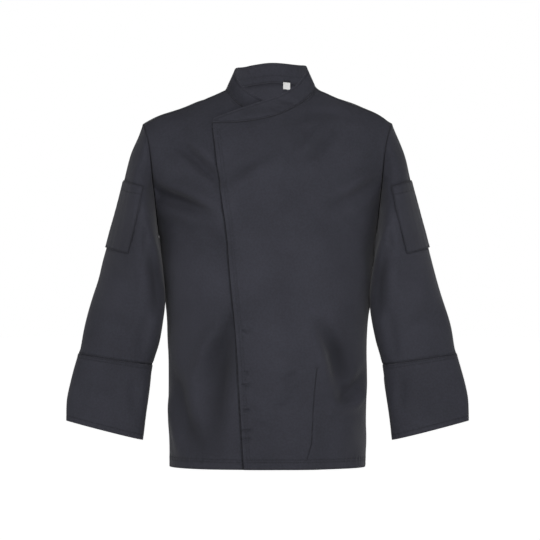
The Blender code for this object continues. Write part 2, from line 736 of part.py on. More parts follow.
def pocket_places(sheet, hand):
    """Where a pocket's grid lies on a sleeve, as rows and columns: level lines across it,
    each measured round the sleeve from the pocket's front edge."""
    top, bottom = (np.array(corner) * [hand, 1] for corner in POCKET_FRONT)
    axis = unit(bottom - top)
    rows, columns = (np.arange(first, last, POCKET_STEP) for first, last in (POCKET_ROWS, POCKET_COLUMNS))
    level = on_tube(sheet, np.stack(np.meshgrid(rows, columns, indexing="ij"), axis=-1))[..., ::2] @ axis
    round_it = POCKET_WIDTH * np.linspace(-1, 0, POCKET_DIVISIONS[1] + 1)
    places = []
    for down in np.linspace(0, 1, POCKET_DIVISIONS[0] + 1):
        front = (1 - down) * top + down * bottom
        row_at = np.array([np.interp(front @ axis, heights, rows) for heights in level.T])
        line = on_tube(sheet, np.stack([row_at, columns], axis=-1))
        arc = np.concatenate([[0], np.cumsum(np.linalg.norm(np.diff(line, axis=0), axis=1))])
        seen = columns >= 0
        inward = -hand * line[seen, 0]
        start = np.interp(-hand * front[0], inward, arc[seen])
        column_at = np.interp(start + round_it, arc, columns)
        places.append(np.stack([np.interp(column_at, columns, row_at), column_at], axis=-1))
    return np.array(places)


def add_pocket(side, garment, normals, collection, parent):
    """A patch pocket on a sleeve, made from the sleeve's own points, moved out."""
    sleeve = f"sleeve_{side}"
    out = CLOTH + POCKET_LIFT
    outside = garment.sheets[sleeve] + normals[sleeve] * (out + CLOTH)
    places = pocket_places(outside, LEFT if side == "left" else RIGHT)
    sheet = on_tube(garment.sheets[sleeve], places)
    directions = unit(on_tube(normals[sleeve], places))
    add_wall(f"sleeve_pocket_{side}", sheet, directions, garment.turns[sleeve], False,
             CLOTH, TWILL, collection, parent, out=out)


def on_tube(values, places):
    """A tube's values at places (row, column), where a column may be below 0."""
    row, column_at = places[..., 0], places[..., 1]
    top, left = np.floor(row).astype(int), np.floor(column_at).astype(int)
    down, along = (row - top)[..., None], (column_at - left)[..., None]
    right, left = (left + 1) % AROUND, left % AROUND
    upper = (1 - along) * values[top, left] + along * values[top, right]
    lower = (1 - along) * values[top + 1, left] + along * values[top + 1, right]
    return (1 - down) * upper + down * lower


def point_on(sheet, x, z):
    """The point of a front's wall at x and z, and the way that it faces."""
    a, b, c, d = sheet[:-1, :-1], sheet[:-1, 1:], sheet[1:, 1:], sheet[1:, :-1]
    for p, q, r in ((a, b, c), (a, c, d)):
        one, two = q - p, r - p
        area = one[..., 0] * two[..., 2] - two[..., 0] * one[..., 2]
        s = ((x - p[..., 0]) * two[..., 2] - two[..., 0] * (z - p[..., 2])) / area
        t = (one[..., 0] * (z - p[..., 2]) - (x - p[..., 0]) * one[..., 2]) / area
        found = np.argwhere((s >= 0) & (t >= 0) & (s + t <= 1))
        if len(found):
            j, i = found[0]
            facing = unit(np.cross(one[j, i], two[j, i]))
            return p[j, i] + s[j, i] * one[j, i] + t[j, i] * two[j, i], facing * -np.sign(facing[1])
    raise ValueError(f"no point of the sheet at x {x}, z {z}")


def add_stud(number, z, garment, collection, parent):
    """A closed press stud: a flat disc between the two fronts, near the free edge."""
    x = float(curve(column(OVERLAP_EDGE, "z"), column(OVERLAP_EDGE, "x"), z)) + STUD_INSET
    over, facing_over = point_on(garment.sheets["front_left"], x, z)
    under, facing_under = point_on(garment.sheets["front_right"], x, z)
    facing = Vector(unit(facing_over + facing_under))
    bpy.ops.mesh.primitive_cylinder_add(vertices=STUD_SIDES, radius=STUD_RADIUS, depth=STUD_DEPTH)
    stud = bpy.context.object
    stud.name = stud.data.name = f"press_stud_{number}"
    stud.location = (over + under) / 2
    stud.rotation_mode = "QUATERNION"
    stud.rotation_quaternion = facing.to_track_quat("Z", "Y")
    stud.data.materials.append(material(stud.name, STUD_METAL))
    for owner in list(stud.users_collection):
        owner.objects.unlink(stud)
    collection.objects.link(stud)
    stud.parent = parent


def label_sheet(collar):
    """A tape that hangs inside the neck from the collar's seam at the back."""
    seam = collar[0]
    behind = seam[NECK_COLUMNS[RIGHT]:NECK_COLUMNS[RIGHT] + NECK_COLUMNS[BACK] + 1]
    x = np.linspace(LABEL_X - LABEL_WIDTH / 2, LABEL_X + LABEL_WIDTH / 2, LABEL_DIVISIONS + 1)
    top = np.stack([np.interp(x, behind[:, 0], behind[:, k]) for k in range(3)], axis=-1)
    along = unit((top[-1] - top[0]) * [1, 1, 0])
    inward = np.array([along[1], -along[0], 0])
    fall = LABEL_RISE - np.linspace(0, 1, LABEL_DIVISIONS + 1)[:, None, None] * LABEL_DROP
    return (top + inward * LABEL_STANDOFF)[None] + fall * np.array([0, 0, 1])


def sewn_garment():
    """All sheets in their places, with their folds."""
    left = front_sheet(LEFT, OVERLAP_EDGE, OVERLAP_NECK)
    right = front_sheet(RIGHT, UNDERLAP_EDGE, UNDERLAP_NECK)
    back = back_sheet()
    left[:, :-1] += (unit(grid_normals(left, 1)) * lap_lift(left)[..., None])[:, :-1]
    shoulder = SHOULDER_COLUMNS + 1
    back[:SIDE_ROWS + 1, -1], back[:SIDE_ROWS + 1, 0] = left[:SIDE_ROWS + 1, -1], right[:SIDE_ROWS + 1, -1]
    back[-1, -shoulder:], back[-1, :shoulder] = left[-1, -shoulder:], right[-1, -shoulder:][::-1]

    garment = Garment()
    garment.add("front_left", left, 1)
    garment.add("front_right", right, -1)
    garment.add("back", back, -1)
    garment.add("collar", collar_sheet(right, back, left), -1)
    for side, hand, front in (("left", LEFT, left), ("right", RIGHT, right)):
        rows = sleeve_rows(hand, front, back)
        garment.add(f"sleeve_{side}", rows[:CUFF_ROW + 1], hand, closed=True)
        garment.add(f"cuff_{side}", rows[CUFF_ROW:], hand, closed=True)
        garment.hold_upright(rows[0], rows[0].mean(axis=0))
    garment.fold()
    return garment


def main():
    """Build the jacket."""
    for old in list(bpy.data.objects):
        bpy.data.objects.remove(old, do_unlink=True)
    collection = bpy.data.collections.new("chef_jacket")
    bpy.context.scene.collection.children.link(collection)
    parent = bpy.data.objects.new("wearer_shoulders", None)
    collection.objects.link(parent)

    garment = sewn_garment()
    normals = garment.directions()
    for name in ("front_left", "front_right", "back", "sleeve_left", "sleeve_right"):
        add_wall(name, garment.sheets[name], normals[name], garment.turns[name],
                 garment.closed[name], CLOTH, TWILL, collection, parent)
    collar = garment.sheets["collar"]
    add_wall("collar", collar, normals["collar"], garment.turns["collar"], False,
             DOUBLE_CLOTH, TWILL_COLLAR, collection, parent)
    for side in ("left", "right"):
        add_cuff(side, garment, normals, collection, parent)
        add_pocket(side, garment, normals, collection, parent)
    label = label_sheet(collar)
    add_wall("size_label", label, unit(grid_normals(label, 1)), 1, False,
             TAPE, TAPE_WHITE, collection, parent)
    for number, z in enumerate(STUD_HEIGHTS, start=1):
        add_stud(number, z, garment, collection, parent)


if __name__ == "__main__":
    main()
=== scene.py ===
"""The chef jacket as it looks: cloth with creases, hems, stitching and a lit studio.

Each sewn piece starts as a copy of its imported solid, is made smooth and fine, takes its
creases and puckers as moves of its own points, and is then dressed in its cloth. Lengths
are in metres unless a field's name or its table says millimetres.
"""

import logging
import math
from dataclasses import dataclass, field, replace
from enum import Enum, IntEnum
from typing import Iterable

import bmesh
import bpy
import numpy as np
from bmesh.types import BMesh, BMEdge, BMFace, BMVert
from bpy.types import Material, Mesh, Node, NodeSocket, NodeTree, Object
from mathutils import Matrix, Vector
from mathutils.bvhtree import BVHTree
from mathutils.kdtree import KDTree


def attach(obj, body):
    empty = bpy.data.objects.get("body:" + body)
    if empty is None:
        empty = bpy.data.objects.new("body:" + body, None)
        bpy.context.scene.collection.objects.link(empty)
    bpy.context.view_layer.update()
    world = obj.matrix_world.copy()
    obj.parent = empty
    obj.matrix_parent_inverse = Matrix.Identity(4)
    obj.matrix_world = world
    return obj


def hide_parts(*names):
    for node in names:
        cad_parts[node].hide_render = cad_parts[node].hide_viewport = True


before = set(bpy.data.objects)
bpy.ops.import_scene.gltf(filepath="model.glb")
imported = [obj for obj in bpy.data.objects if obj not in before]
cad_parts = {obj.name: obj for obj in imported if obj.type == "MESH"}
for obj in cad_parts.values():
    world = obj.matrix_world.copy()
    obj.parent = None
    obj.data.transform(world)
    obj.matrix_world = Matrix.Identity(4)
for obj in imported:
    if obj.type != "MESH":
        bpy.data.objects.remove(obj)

Array = np.ndarray
Point = tuple[float, float, float]
Colour = tuple[float, float, float]
Line = tuple[tuple[float, float], ...]

log = logging.getLogger("chef_jacket")

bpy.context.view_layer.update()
MM = 0.001

# The solid's mesh: points this near are one, faces narrower than a rim are its edge, and
# the angles of sharp edges, of cells that may be skewed and of folds
SAME_POINT = 2e-5
RIM_WIDTH = 0.0026
SHARP = math.radians(50)
SKEWED = math.radians(80)
FOLDED = math.radians(35)
EASE_STEPS = 10
SHRINK_STEPS = 3

# Creases: depth of all, strength at the ends and added in the middle, how sharply they end,
# the swell beside them, how soon they fade on cloth that turns away, and painted shade in a
# trough for each millimetre of its depth
CREASE_DEPTH = 2.1
END_STRENGTH, MIDDLE_STRENGTH = 0.45, 0.55
END_POWER = 2.5
SIDE_SWELL = 0.33
TURNED_AWAY = 0.4
TROUGH_PAINTED_SHADE = 0.05

# The broad swell of the cloth, in metres
SWELL_LENGTH = 0.15
SWELL_LEAN = 0.7

# Rows of stitches: pitch of their points in metres, then widths in millimetres
ROW_PITCH = 0.0015
GROOVE_WIDTH = 1.1
ROLL_WIDTH = 2.2
FINE_REACHES = (7.5, 3.5)
FINE_EDGE = 1.2
WEAR_WIDTH = 1.6
SEAM_WIDTH = 1.3
ROW_WIDTH = 1.0
PUCKER_WIDTH = 4.0
MARK_GROOVE = 1.3

# Puckers' waves along a seam, in radians a metre, and how near a seam's way has to be
QUICK_WAVE, DRIFT_WAVE, STRENGTH_WAVE = 520.0, 97.0, 61.0
SAME_WAY = 0.5

# Finishes: shares of patches and flecks in the tone, of wear and lint, of the colour left
# in the deepest painted shade, and of flecks in relief and roughness
PATCH_TONE, FLECK_TONE = 0.55, 0.45
WEAR_SHOWN, LINT_SHOWN = 0.4, 0.25
DEEPEST = 0.3
FLECK_RELIEF, FLECK_ROUGHNESS = 0.5, 0.10


class Skin(IntEnum):
    """Which side of the wall a face is on, kept as its material index in the making."""

    OUTER = 0
    INNER = 1
    RIM = 2


class Facing(Enum):
    """The side of the jacket that a crease is seen from; the value is the sign of Y."""

    FRONT = -1.0
    BACK = 1.0


class Side(IntEnum):
    """The wearer's side; the value is the sign of X."""

    LEFT = 1
    RIGHT = -1


# ---- small maths

def ease(value: Array) -> Array:
    """0 below 0, 1 above 1 and smooth between."""
    held = np.clip(value, 0.0, 1.0)
    return held * held * (3.0 - 2.0 * held)


def bell(distance: Array, width: float) -> Array:
    """A soft bump that is 1 at no distance and fades over the width."""
    return np.exp(-((distance / width) ** 2))


def unit(vectors: Array) -> Array:
    """The same directions with a length of 1."""
    return vectors / np.maximum(np.linalg.norm(vectors, axis=-1, keepdims=True), 1e-12)


def tree_of(points: Array) -> KDTree:
    """A search tree of points."""
    tree = KDTree(len(points))
    for place, point in enumerate(points):
        tree.insert(point, place)
    tree.balance()
    return tree


def nearest(tree: KDTree, points: Array) -> tuple[Array, Array]:
    """Place of the nearest tree point to each point, and how far it is."""
    found = [tree.find(point) for point in points]
    return np.array([f[1] for f in found]), np.array([f[2] for f in found])


def resampled(path: Array, pitch: float) -> Array:
    """The same line with a point at every pitch of its length."""
    length = np.concatenate([[0.0], np.cumsum(np.linalg.norm(np.diff(path, axis=0), axis=1))])
    count = max(int(length[-1] / pitch), 2)
    at = np.linspace(0.0, length[-1], count + 1)
    return np.stack([np.interp(at, length, path[:, k]) for k in range(3)], axis=-1)


def swell(x: Array, z: Array, scale: float) -> Array:
    """An endless, uneven swell between about -1 and 1, the same each run.

    Args:
        x: First coordinate of each point.
        z: Second coordinate of each point.
        scale: Length of one swell.
    """
    waves = ((1.0, 0.35, 0.3), (-0.6, 0.9, 1.9), (0.25, -1.15, 4.0), (1.3, 1.05, 2.6))
    total = sum(np.sin((a * x + b * z) * math.tau / scale + c
                       + 1.3 * np.sin(b * x / scale * 2.1 + a * z / scale * 2.7))
                for a, b, c in waves)
    return total / 2.4


def ripple(along: Array) -> Array:
    """The uneven wave of small puckers along a seam, between -1 and 1."""
    quick = np.sin(along * QUICK_WAVE + 2.0 * np.sin(along * DRIFT_WAVE))
    return quick * (0.6 + 0.4 * np.sin(along * STRENGTH_WAVE))


def column(items: Iterable, name: str, kind: type = int, each: int = 1) -> Array:
    """One property of all the items, with so many values for each."""
    values = np.zeros(len(items) * each, kind)
    items.foreach_get(name, values)
    return values


def points_of(mesh: Mesh) -> Array:
    """The mesh's points as an array."""
    return column(mesh.vertices, "co", float, 3).reshape(-1, 3)


def added(name: str, data: object) -> Object:
    """A new object of the data, in the scene."""
    made = bpy.data.objects.new(name, data)
    bpy.context.scene.collection.objects.link(made)
    return made


def evaluated(made: Object) -> Object:
    """The object with its modifiers applied."""
    return made.evaluated_get(bpy.context.evaluated_depsgraph_get())


# ---- creases

@dataclass(frozen=True)
class Crease:
    """A soft ridge or trough along a bent line. All values are in millimetres.

    path holds (x, z) points, width is the reach of its slope, and height is above 0 for a
    ridge and below 0 for a trough. Each side of it swells a little the other way. Painted
    shade darkens the cloth in a trough, and the shade adds more painted shade anywhere along it.
    """

    path: Line
    width: float
    height: float
    facing: Facing
    shade: float = 0.0

    def mirrored(self) -> "Crease":
        """The same crease on the wearer's other side."""
        return replace(self, path=tuple((-x, z) for x, z in self.path))

    def laid(self, at: Array, facing: Array) -> tuple[Array, Array]:
        """Height in metres at each point, and how much painted shade darkens it.

        Args:
            at: The points, in metres.
            facing: The way that the cloth faces at each.
        """
        x, z = at[:, 0], at[:, 2]
        points = np.array(self.path) * MM
        lengths = np.linalg.norm(np.diff(points, axis=0), axis=1)
        before = np.concatenate([[0.0], np.cumsum(lengths)])
        best, along = np.full(x.shape, np.inf), np.zeros(x.shape)
        for start, end, length, gone in zip(points, points[1:], lengths, before):
            run = end - start
            share = ((x - start[0]) * run[0] + (z - start[1]) * run[1]) / length**2
            share = np.clip(share, 0.0, 1.0)
            away = np.hypot(x - start[0] - share * run[0], z - start[1] - share * run[1])
            nearer = away < best
            best = np.where(nearer, away, best)
            along = np.where(nearer, (gone + share * length) / before[-1], along)
        width = self.width * MM
        strength = END_STRENGTH + MIDDLE_STRENGTH * (1.0 - np.abs(2.0 * along - 1.0) ** END_POWER)
        strength *= ease(self.facing.value * facing[:, 1] / TURNED_AWAY)
        shape = bell(best, width) - SIDE_SWELL * bell(best - 2.0 * width, width)
        shade = (self.shade + TROUGH_PAINTED_SHADE * max(-self.height, 0.0)) * bell(best, width)
        return CREASE_DEPTH * self.height * MM * strength * shape, strength * shade


def crease_table(facing: Facing, *rows: tuple) -> tuple[Crease, ...]:
    """A crease for each row of path, width, height and, where it has extra painted shade, shade."""
    return tuple(Crease(path, width, height, facing, *shade)
                 for path, width, height, *shade in rows)


def both_sides(kept: tuple[Crease, ...]) -> tuple[Crease, ...]:
    """The creases and their mirror images."""
    return kept + tuple(crease.mirrored() for crease in kept)


# Creases in millimetres: path as (x, z) points, width, height and extra painted shade
PUCKER_HEIGHTS = (-466, -546, -570, -618, -658, -674)
PUCKERS = crease_table(Facing.FRONT, *((((-48, z), (-40, z - 1), (-33, z + 2)), 2.6, -2.0)
                                       for z in PUCKER_HEIGHTS))

BODY_CREASES = PUCKERS + crease_table(
    Facing.FRONT,
    (((-168, -112), (-132, -142), (-96, -178)), 9, -3.6),
    (((-150, -92), (-104, -138)), 10, 2.4),
    (((-214, -204), (-165, -218), (-112, -240)), 13, -4.4),
    (((-205, -178), (-150, -200), (-90, -236)), 11, 2.6),
    (((-185, -262), (-130, -262), (-84, -300)), 13, -2.0),
    (((-66, -192), (-22, -160), (18, -134)), 12, 2.0),
    (((-70, -165), (-30, -140)), 10, -1.6),
    (((84, -134), (112, -104), (134, -78)), 9, -2.6),
    (((66, -120), (100, -76)), 9, 1.8),
    (((60, -52), (110, -46), (163, -52)), 8, -1.2),
    (((214, -176), (172, -208), (122, -226)), 11, -3.0),
    (((150, -190), (196, -160)), 10, 2.0),
    (((-190, -538), (-168, -596), (-150, -652)), 16, -4.0, 0.25),
    (((-190, -585), (-178, -640), (-172, -700)), 9, 3.0),
    (((-150, -640), (-128, -704)), 16, -2.6, 0.2),
    (((104, -458), (128, -506), (150, -592)), 14, -5.4),
    (((192, -546), (168, -578), (148, -598)), 11, -4.0),
    (((134, -478), (160, -560)), 22, -2.0, 0.3),
    (((130, -616), (168, -606), (192, -580)), 10, 3.0),
    (((24, -580), (62, -554)), 8, 2.0),
    (((30, -566), (60, -545)), 7, -2.0),
    (((18, -612), (48, -598)), 7, -1.6),
    (((42, -682), (64, -704)), 8, 1.6),
    (((-28, -600), (-8, -618)), 7, 1.4),
    (((-26, -640), (0, -652)), 7, -1.3),
) + crease_table(
    Facing.BACK,
    (((-190, -180), (-150, -235), (-105, -300)), 11, 3.6),
    (((-165, -228), (-115, -295), (-70, -345)), 10, -3.4),
    (((192, -190), (150, -246), (112, -292)), 11, 3.2),
    (((168, -236), (116, -290), (62, -332)), 10, -3.4),
    (((-96, -70), (-40, -62), (30, -66)), 9, -1.6),
    (((-150, -474), (-90, -500), (-28, -506)), 10, 3.0),
    (((146, -456), (96, -492), (38, -516)), 10, -3.2),
    (((-120, -560), (-104, -620), (-95, -700)), 12, -3.8),
    (((96, -572), (92, -640), (84, -708)), 12, 3.6),
    (((6, -575), (-4, -640), (2, -705)), 11, -2.6),
    (((-176, -600), (-168, -690)), 11, 2.8),
    (((170, -590), (150, -660)), 11, -2.6),
)

# Where the right front falls back beside the overlap, with painted shade in the trough
UNDER_CREASES = crease_table(
    Facing.FRONT,
    (((-70, -448), (-86, -506), (-96, -580), (-104, -690)), 20, -6.0, 0.2),
    (((-84, -436), (-120, -505), (-142, -560)), 12, 3.0),
)

SLEEVE_CREASES = both_sides(crease_table(
    Facing.FRONT,
    (((-232, -100), (-246, -150), (-258, -195)), 9, 1.6),
    (((-239, -268), (-244, -312)), 5, -1.5),
    (((-226, -322), (-216, -362), (-212, -425)), 14, -4.4, 0.35),
    (((-236, -432), (-244, -480), (-246, -512)), 9, -1.8),
    (((-300, -350), (-268, -372)), 14, -1.0),
    (((-322, -432), (-290, -448), (-262, -470)), 14, -1.0),
    (((-262, -560), (-258, -620)), 9, -1.4),
    (((-330, -560), (-345, -610)), 12, 1.2),
) + crease_table(
    Facing.BACK,
    (((-240, -130), (-262, -200), (-280, -260)), 10, 2.6),
    (((-236, -210), (-250, -262)), 8, -2.4),
    (((-238, -330), (-272, -346), (-312, -338)), 9, -3.6),
    (((-240, -368), (-280, -380), (-318, -372)), 9, 3.2),
    (((-246, -404), (-285, -424), (-330, -418)), 8, -2.8),
    (((-256, -452), (-300, -476)), 8, 2.0),
    (((-270, -560), (-266, -620)), 8, -1.8),
))

COLLAR_CREASES = crease_table(
    Facing.FRONT,
    (((23, -19), (56, -28)), 5, -1.2),
    # Nearly flat: mostly painted shade on the collar's right front
    (((-78, 8), (-60, -14), (-44, -34)), 13, -0.3, 0.3),
    (((12, -39), (28, -41)), 4, -0.9),
    # Nearly flat: mostly painted shade across the collar's front
    (((-44, -40), (0, -40), (36, -32)), 9, -0.1, 0.2),
    (((-60, -56), (-30, -52)), 6, 0.8),
) + crease_table(
    Facing.BACK,
    (((-40, 20), (-30, 45)), 7, 0.9),
    (((52, 18), (44, 44)), 7, -0.9),
)


# ---- seams and stitches

@dataclass(frozen=True)
class Zone:
    """A box that picks the part of a border where a seam runs."""

    x: tuple[float, float] = (-1.0, 1.0)
    y: tuple[float, float] = (-1.0, 1.0)
    z: tuple[float, float] = (-1.0, 1.0)

    def holds(self, point: Vector) -> bool:
        """Whether the point is in the box."""
        sides = (self.x, self.y, self.z)
        return all(low <= value <= high for value, (low, high) in zip(point, sides))


UP, DOWN = (0.0, 0.0, 1.0), (0.0, 0.0, -1.0)


@dataclass(frozen=True)
class Seam:
    """Rows of stitches that follow a border, the cloth's small puckers there, and painted shade
    along them.

    Either zone picks a stretch of the border, with the rows at offsets in from it and only
    where the cloth lies in the given way from it, or path gives the row itself as (x, z)
    points seen from the front. Lengths are in millimetres.
    """

    zone: Zone | None = None
    offsets: tuple[float, ...] = ()
    way: Point | None = None
    path: Line = ()
    skin: Skin = Skin.OUTER
    groove: float = 0.35
    pucker: float = 0.35
    # Strength of the painted shade along each row
    shade: float = 0.5
    threads: bool = True


@dataclass(frozen=True)
class Disc:
    """The round mark of something hard under the cloth: a rise with a groove round it."""

    x: float
    z: float
    radius: float
    rise: float
    groove: float

    def reach(self, x: Array, z: Array) -> Array:
        """How many radii each point, given in metres, lies from the middle."""
        return np.hypot(x - self.x * MM, z - self.z * MM) / (self.radius * MM)

    def height_at(self, x: Array, z: Array) -> Array:
        """Height in metres at each point, given in metres."""
        reach = self.reach(x, z)
        sunk = self.groove * bell(reach - 1.0, MARK_GROOVE / self.radius)
        return MM * (self.rise * (1.0 - ease(reach)) - sunk)


@dataclass(frozen=True)
class Bump:
    """A soft rise round one point of the cloth, in metres."""

    place: Point
    radius: float
    height: float

    def height_at(self, at: Array) -> Array:
        """Height at each point."""
        return self.height * bell(np.linalg.norm(at - np.array(self.place), axis=1), self.radius)


@dataclass(frozen=True)
class Stitch:
    """The size of one stitch of sewing thread, in millimetres."""

    length: float = 2.7
    pitch: float = 3.5
    radius: float = 0.22
    lift: float = 0.05


@dataclass
class Row:
    """One row of stitches as points on the cloth."""

    points: Array
    seam: Seam


# Where studs press through the overlap
STUD_MARKS = (
    Disc(-95.0, -69.0, 8.5, 0.9, 0.5),
    Disc(-76.0, -191.0, 5.5, 0.6, 0.25),
    Disc(-59.5, -316.0, 5.5, 0.8, 0.4),
    Disc(-48.6, -452.0, 5.5, 0.7, 0.25),
    Disc(-40.5, -585.0, 5.5, 0.7, 0.25),
)

EVERYWHERE = Zone()
# Seams where the wall bends sharply, so that a roll would part them
STILL = (Zone(x=(-0.12, 0.12), z=(-0.12, 0.10)), Zone(z=(-0.36, -0.27)))
HEM_ZONE = Zone(z=(-1.0, -0.728))
# The hem's rows; the second has no thread, only a shallow groove with painted shade
HEM = (Seam(HEM_ZONE, (14.5, 19.5), UP, pucker=0.45),
       Seam(HEM_ZONE, (3.0,), UP, groove=0.2, shade=0.3, threads=False))


# ---- finishes

@dataclass
class Graph:
    """A node tree, with short ways to fill it."""

    tree: NodeTree

    def fill(self, node: Node, inputs: dict[str | int, object]) -> Node:
        """Give a node its inputs: a socket is linked, and any other value is set."""
        for key, value in inputs.items():
            if isinstance(value, NodeSocket):
                self.tree.links.new(value, node.inputs[key])
            else:
                node.inputs[key].default_value = value
        return node

    def add(self, kind: str, inputs: dict[str | int, object] | None = None) -> Node:
        """A new shader node of the kind."""
        return self.fill(self.tree.nodes.new(f"ShaderNode{kind}"), inputs or {})

    def combined(self, operation: str, first: NodeSocket, second: NodeSocket | float) -> NodeSocket:
        """The result of a Math node."""
        node = self.add("Math", {0: first, 1: second})
        node.operation = operation
        return node.outputs[0]

    def scaled(self, value: NodeSocket, share: NodeSocket | float) -> NodeSocket:
        """A share of the value."""
        return self.combined("MULTIPLY", value, share)

    def mixed(self, factor: NodeSocket, first: NodeSocket | Colour, second: Colour) -> NodeSocket:
        """A colour between two."""
        node = self.add("Mix")
        node.data_type = "RGBA"
        start = first if isinstance(first, NodeSocket) else (*first, 1.0)
        return self.fill(node, {0: factor, 6: start, 7: (*second, 1.0)}).outputs[2]

    def mask(self, name: str) -> NodeSocket:
        """A mask that the mesh carries."""
        node = self.add("Attribute")
        node.attribute_name = name
        return node.outputs["Fac"]

    def grouped(self, group: NodeTree, inputs: dict[str, object]) -> bpy.types.NodeOutputs:
        """The outputs of a node group."""
        node = self.add("Group")
        node.node_tree = group
        return self.fill(node, inputs).outputs


class Shading:
    """Node groups that the finishes share, each built once."""

    @staticmethod
    def group(name: str, inputs: dict[str, str], outputs: Iterable[str]) -> tuple[NodeTree, bool]:
        """A node group of that name, and whether it still has to be filled.

        Args:
            name: Name of the group.
            inputs: Socket type of each input, by its name.
            outputs: Name of each output, all of them numbers.
        """
        if name in bpy.data.node_groups:
            return bpy.data.node_groups[name], False
        tree = bpy.data.node_groups.new(name, "ShaderNodeTree")
        for label, kind in inputs.items():
            tree.interface.new_socket(label, in_out="INPUT", socket_type=kind)
        for label in outputs:
            tree.interface.new_socket(label, in_out="OUTPUT", socket_type="NodeSocketFloat")
        tree.nodes.new("NodeGroupInput").name = "in"
        tree.nodes.new("NodeGroupOutput").name = "out"
        return tree, True

    @classmethod
    def twill(cls) -> NodeTree:
        """Height of a twill's slanting ribs, broken by its yarns."""
        inputs = {"Vector": "NodeSocketVector", "Ribs": "NodeSocketFloat"}
        tree, fresh = cls.group("twill_ribs", inputs, ("Height",))
        if not fresh:
            return tree
        graph, source = Graph(tree), tree.nodes["in"].outputs
        waves = []
        for direction, share in (("DIAGONAL", 1.0), ("X", 2.0)):
            scale = graph.scaled(source["Ribs"], share)
            wave = graph.add("TexWave", {"Vector": source["Vector"], "Scale": scale,
                                         "Distortion": 0.6, "Detail": 1.0})
            wave.wave_type, wave.bands_direction, wave.wave_profile = "BANDS", direction, "SIN"
            waves.append(wave.outputs["Fac"])
        height = graph.combined("ADD", waves[0], graph.scaled(waves[1], 0.35))
        graph.fill(tree.nodes["out"], {"Height": height})
        return tree

    @classmethod
    def mottle(cls) -> NodeTree:
        """Uneven dye: broad soft patches, small flecks and fine lint, each from 0 to 1."""
        tree, fresh = cls.group("uneven_dye", {"Vector": "NodeSocketVector"},
                                ("Patches", "Flecks", "Lint"))
        if not fresh:
            return tree
        graph, vector = Graph(tree), tree.nodes["in"].outputs["Vector"]
        for label, scale, detail, low, high in (("Patches", 9.0, 6.0, 0.32, 0.68),
                                                ("Flecks", 260.0, 4.0, 0.40, 0.60),
                                                ("Lint", 900.0, 2.0, 0.66, 0.80)):
            noise = graph.add("TexNoise", {"Vector": vector, "Scale": scale, "Detail": detail})
            spread = graph.add("MapRange", {"Value": noise.outputs["Fac"], "From Min": low,
                                            "From Max": high})
            graph.fill(tree.nodes["out"], {label: spread.outputs["Result"]})
        return tree

    @staticmethod
    def material(name: str) -> tuple[Material, Graph, Node]:
        """A new material with its graph and its shader."""
        made = bpy.data.materials.new(name)
        made.use_nodes = True
        return made, Graph(made.node_tree), made.node_tree.nodes["Principled BSDF"]


@dataclass(frozen=True)
class Cloth:
    """A woven finish: colours from dark to light, its ribs, how it takes light, and painted shade
    where its mesh's seam mask is high.
    """

    name: str
    dark: Colour
    light: Colour
    worn: Colour
    ribs: float = 300.0
    relief: float = 0.00016
    roughness: float = 0.82
    sheen: float = 0.10

    def material(self) -> Material:
        """The finish as a material, made once."""
        if self.name in bpy.data.materials:
            return bpy.data.materials[self.name]
        made, graph, shader = Shading.material(self.name)
        flat = graph.add("UVMap")
        flat.uv_map = "cloth"
        weave = graph.grouped(Shading.twill(), {"Vector": flat.outputs["UV"], "Ribs": self.ribs})
        place = graph.add("TexCoord").outputs["Object"]
        dye = graph.grouped(Shading.mottle(), {"Vector": place})
        flecks = dye["Flecks"]
        tone = graph.combined("ADD", graph.scaled(dye["Patches"], PATCH_TONE),
                              graph.scaled(flecks, FLECK_TONE))
        rubbed = graph.combined("MAXIMUM", graph.scaled(graph.mask("wear"), WEAR_SHOWN),
                                graph.scaled(dye["Lint"], LINT_SHOWN))
        colour = graph.mixed(rubbed, graph.mixed(tone, self.dark, self.light), self.worn)
        # Painted shadow colour: the seam mask darkens the cloth towards it along seams, stitch
        # rows, the overlap's edge and in creases
        shadow = tuple(DEEPEST * part for part in self.dark)
        height = graph.combined("ADD", weave["Height"], graph.scaled(flecks, FLECK_RELIEF))
        bump = graph.add("Bump", {"Strength": 0.5, "Distance": self.relief, "Height": height})
        graph.fill(shader, {
            # The seam mask carries painted shade
            "Base Color": graph.mixed(graph.mask("seam"), colour, shadow),
            "Roughness": graph.combined("ADD", graph.scaled(flecks, FLECK_ROUGHNESS),
                                        self.roughness),
            "Normal": bump.outputs["Normal"], "Specular IOR Level": 0.28,
            "Sheen Weight": self.sheen, "Sheen Roughness": 0.45,
        })
        made.diffuse_color = (*self.light, 1.0)
        return made


TWILL = Cloth("charcoal_twill",
              (0.0265, 0.027, 0.036), (0.0425, 0.043, 0.057), (0.050, 0.050, 0.064))
THREAD = Cloth("charcoal_thread",
               (0.024, 0.024, 0.031), (0.032, 0.032, 0.041), (0.036, 0.036, 0.046),
               ribs=1400.0, relief=0.00005, roughness=0.6, sheen=0.05)
TAPE = Cloth("white_tape", (0.80, 0.80, 0.79), (0.90, 0.90, 0.89), (0.92, 0.92, 0.92),
             ribs=420.0, relief=0.0001, roughness=0.75, sheen=0.05)
TAPE_THREAD = Cloth("white_thread", (0.62, 0.62, 0.61), (0.78, 0.78, 0.77), (0.9, 0.9, 0.9),
                    ribs=1400.0, relief=0.00005, roughness=0.6, sheen=0.05)


@dataclass(frozen=True)
class StudMetal:
    """Dark plated metal of the closed press studs."""

    name: str = "stud_metal"
    colour: Colour = (0.10, 0.10, 0.11)
    rubbed: Colour = (0.16, 0.16, 0.17)

    def material(self) -> Material:
        """The finish as a material, with rubbed spots."""
        made, graph, shader = Shading.material(self.name)
        place = graph.add("TexCoord").outputs["Object"]
        flecks = graph.grouped(Shading.mottle(), {"Vector": place})["Flecks"]
        graph.fill(shader, {
            "Base Color": graph.mixed(flecks, self.colour, self.rubbed), "Metallic": 0.9,
            "Roughness": graph.combined("ADD", graph.scaled(flecks, 0.2), 0.28),
        })
        return made


# ---- how the weave runs

